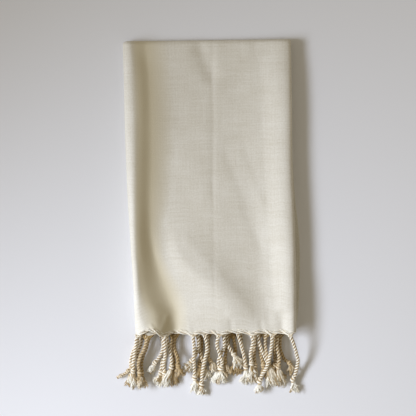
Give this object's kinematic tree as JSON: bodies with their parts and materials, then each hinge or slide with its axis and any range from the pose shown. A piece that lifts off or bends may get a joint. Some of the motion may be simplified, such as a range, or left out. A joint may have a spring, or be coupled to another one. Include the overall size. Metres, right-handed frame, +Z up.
{
  "type": "dish towel",
  "caption": "Plain woven cotton dish towel with twisted, knotted fringes at both ends, folded in thirds and then in half, lying flat.",
  "frame": {"origin": "under the middle of the folded towel, fringes included, on the surface that it lies on", "axes": "+Y from the fringe end to the crosswise fold, +X across the towel to the right seen from above, +Z up"},
  "size_m": [0.1828, 0.3572, 0.0208],
  "materials": {
    "cloth": "matt unbleached cotton in plain weave",
    "fringe": "matt unbleached cotton yarn, two-ply twisted cords with frayed ends"
  },
  "bodies": {
    "root": {"cloth": "cloth", "fringe_front": "fringe", "fringe_back": "fringe"}
  },
  "joints": []
}
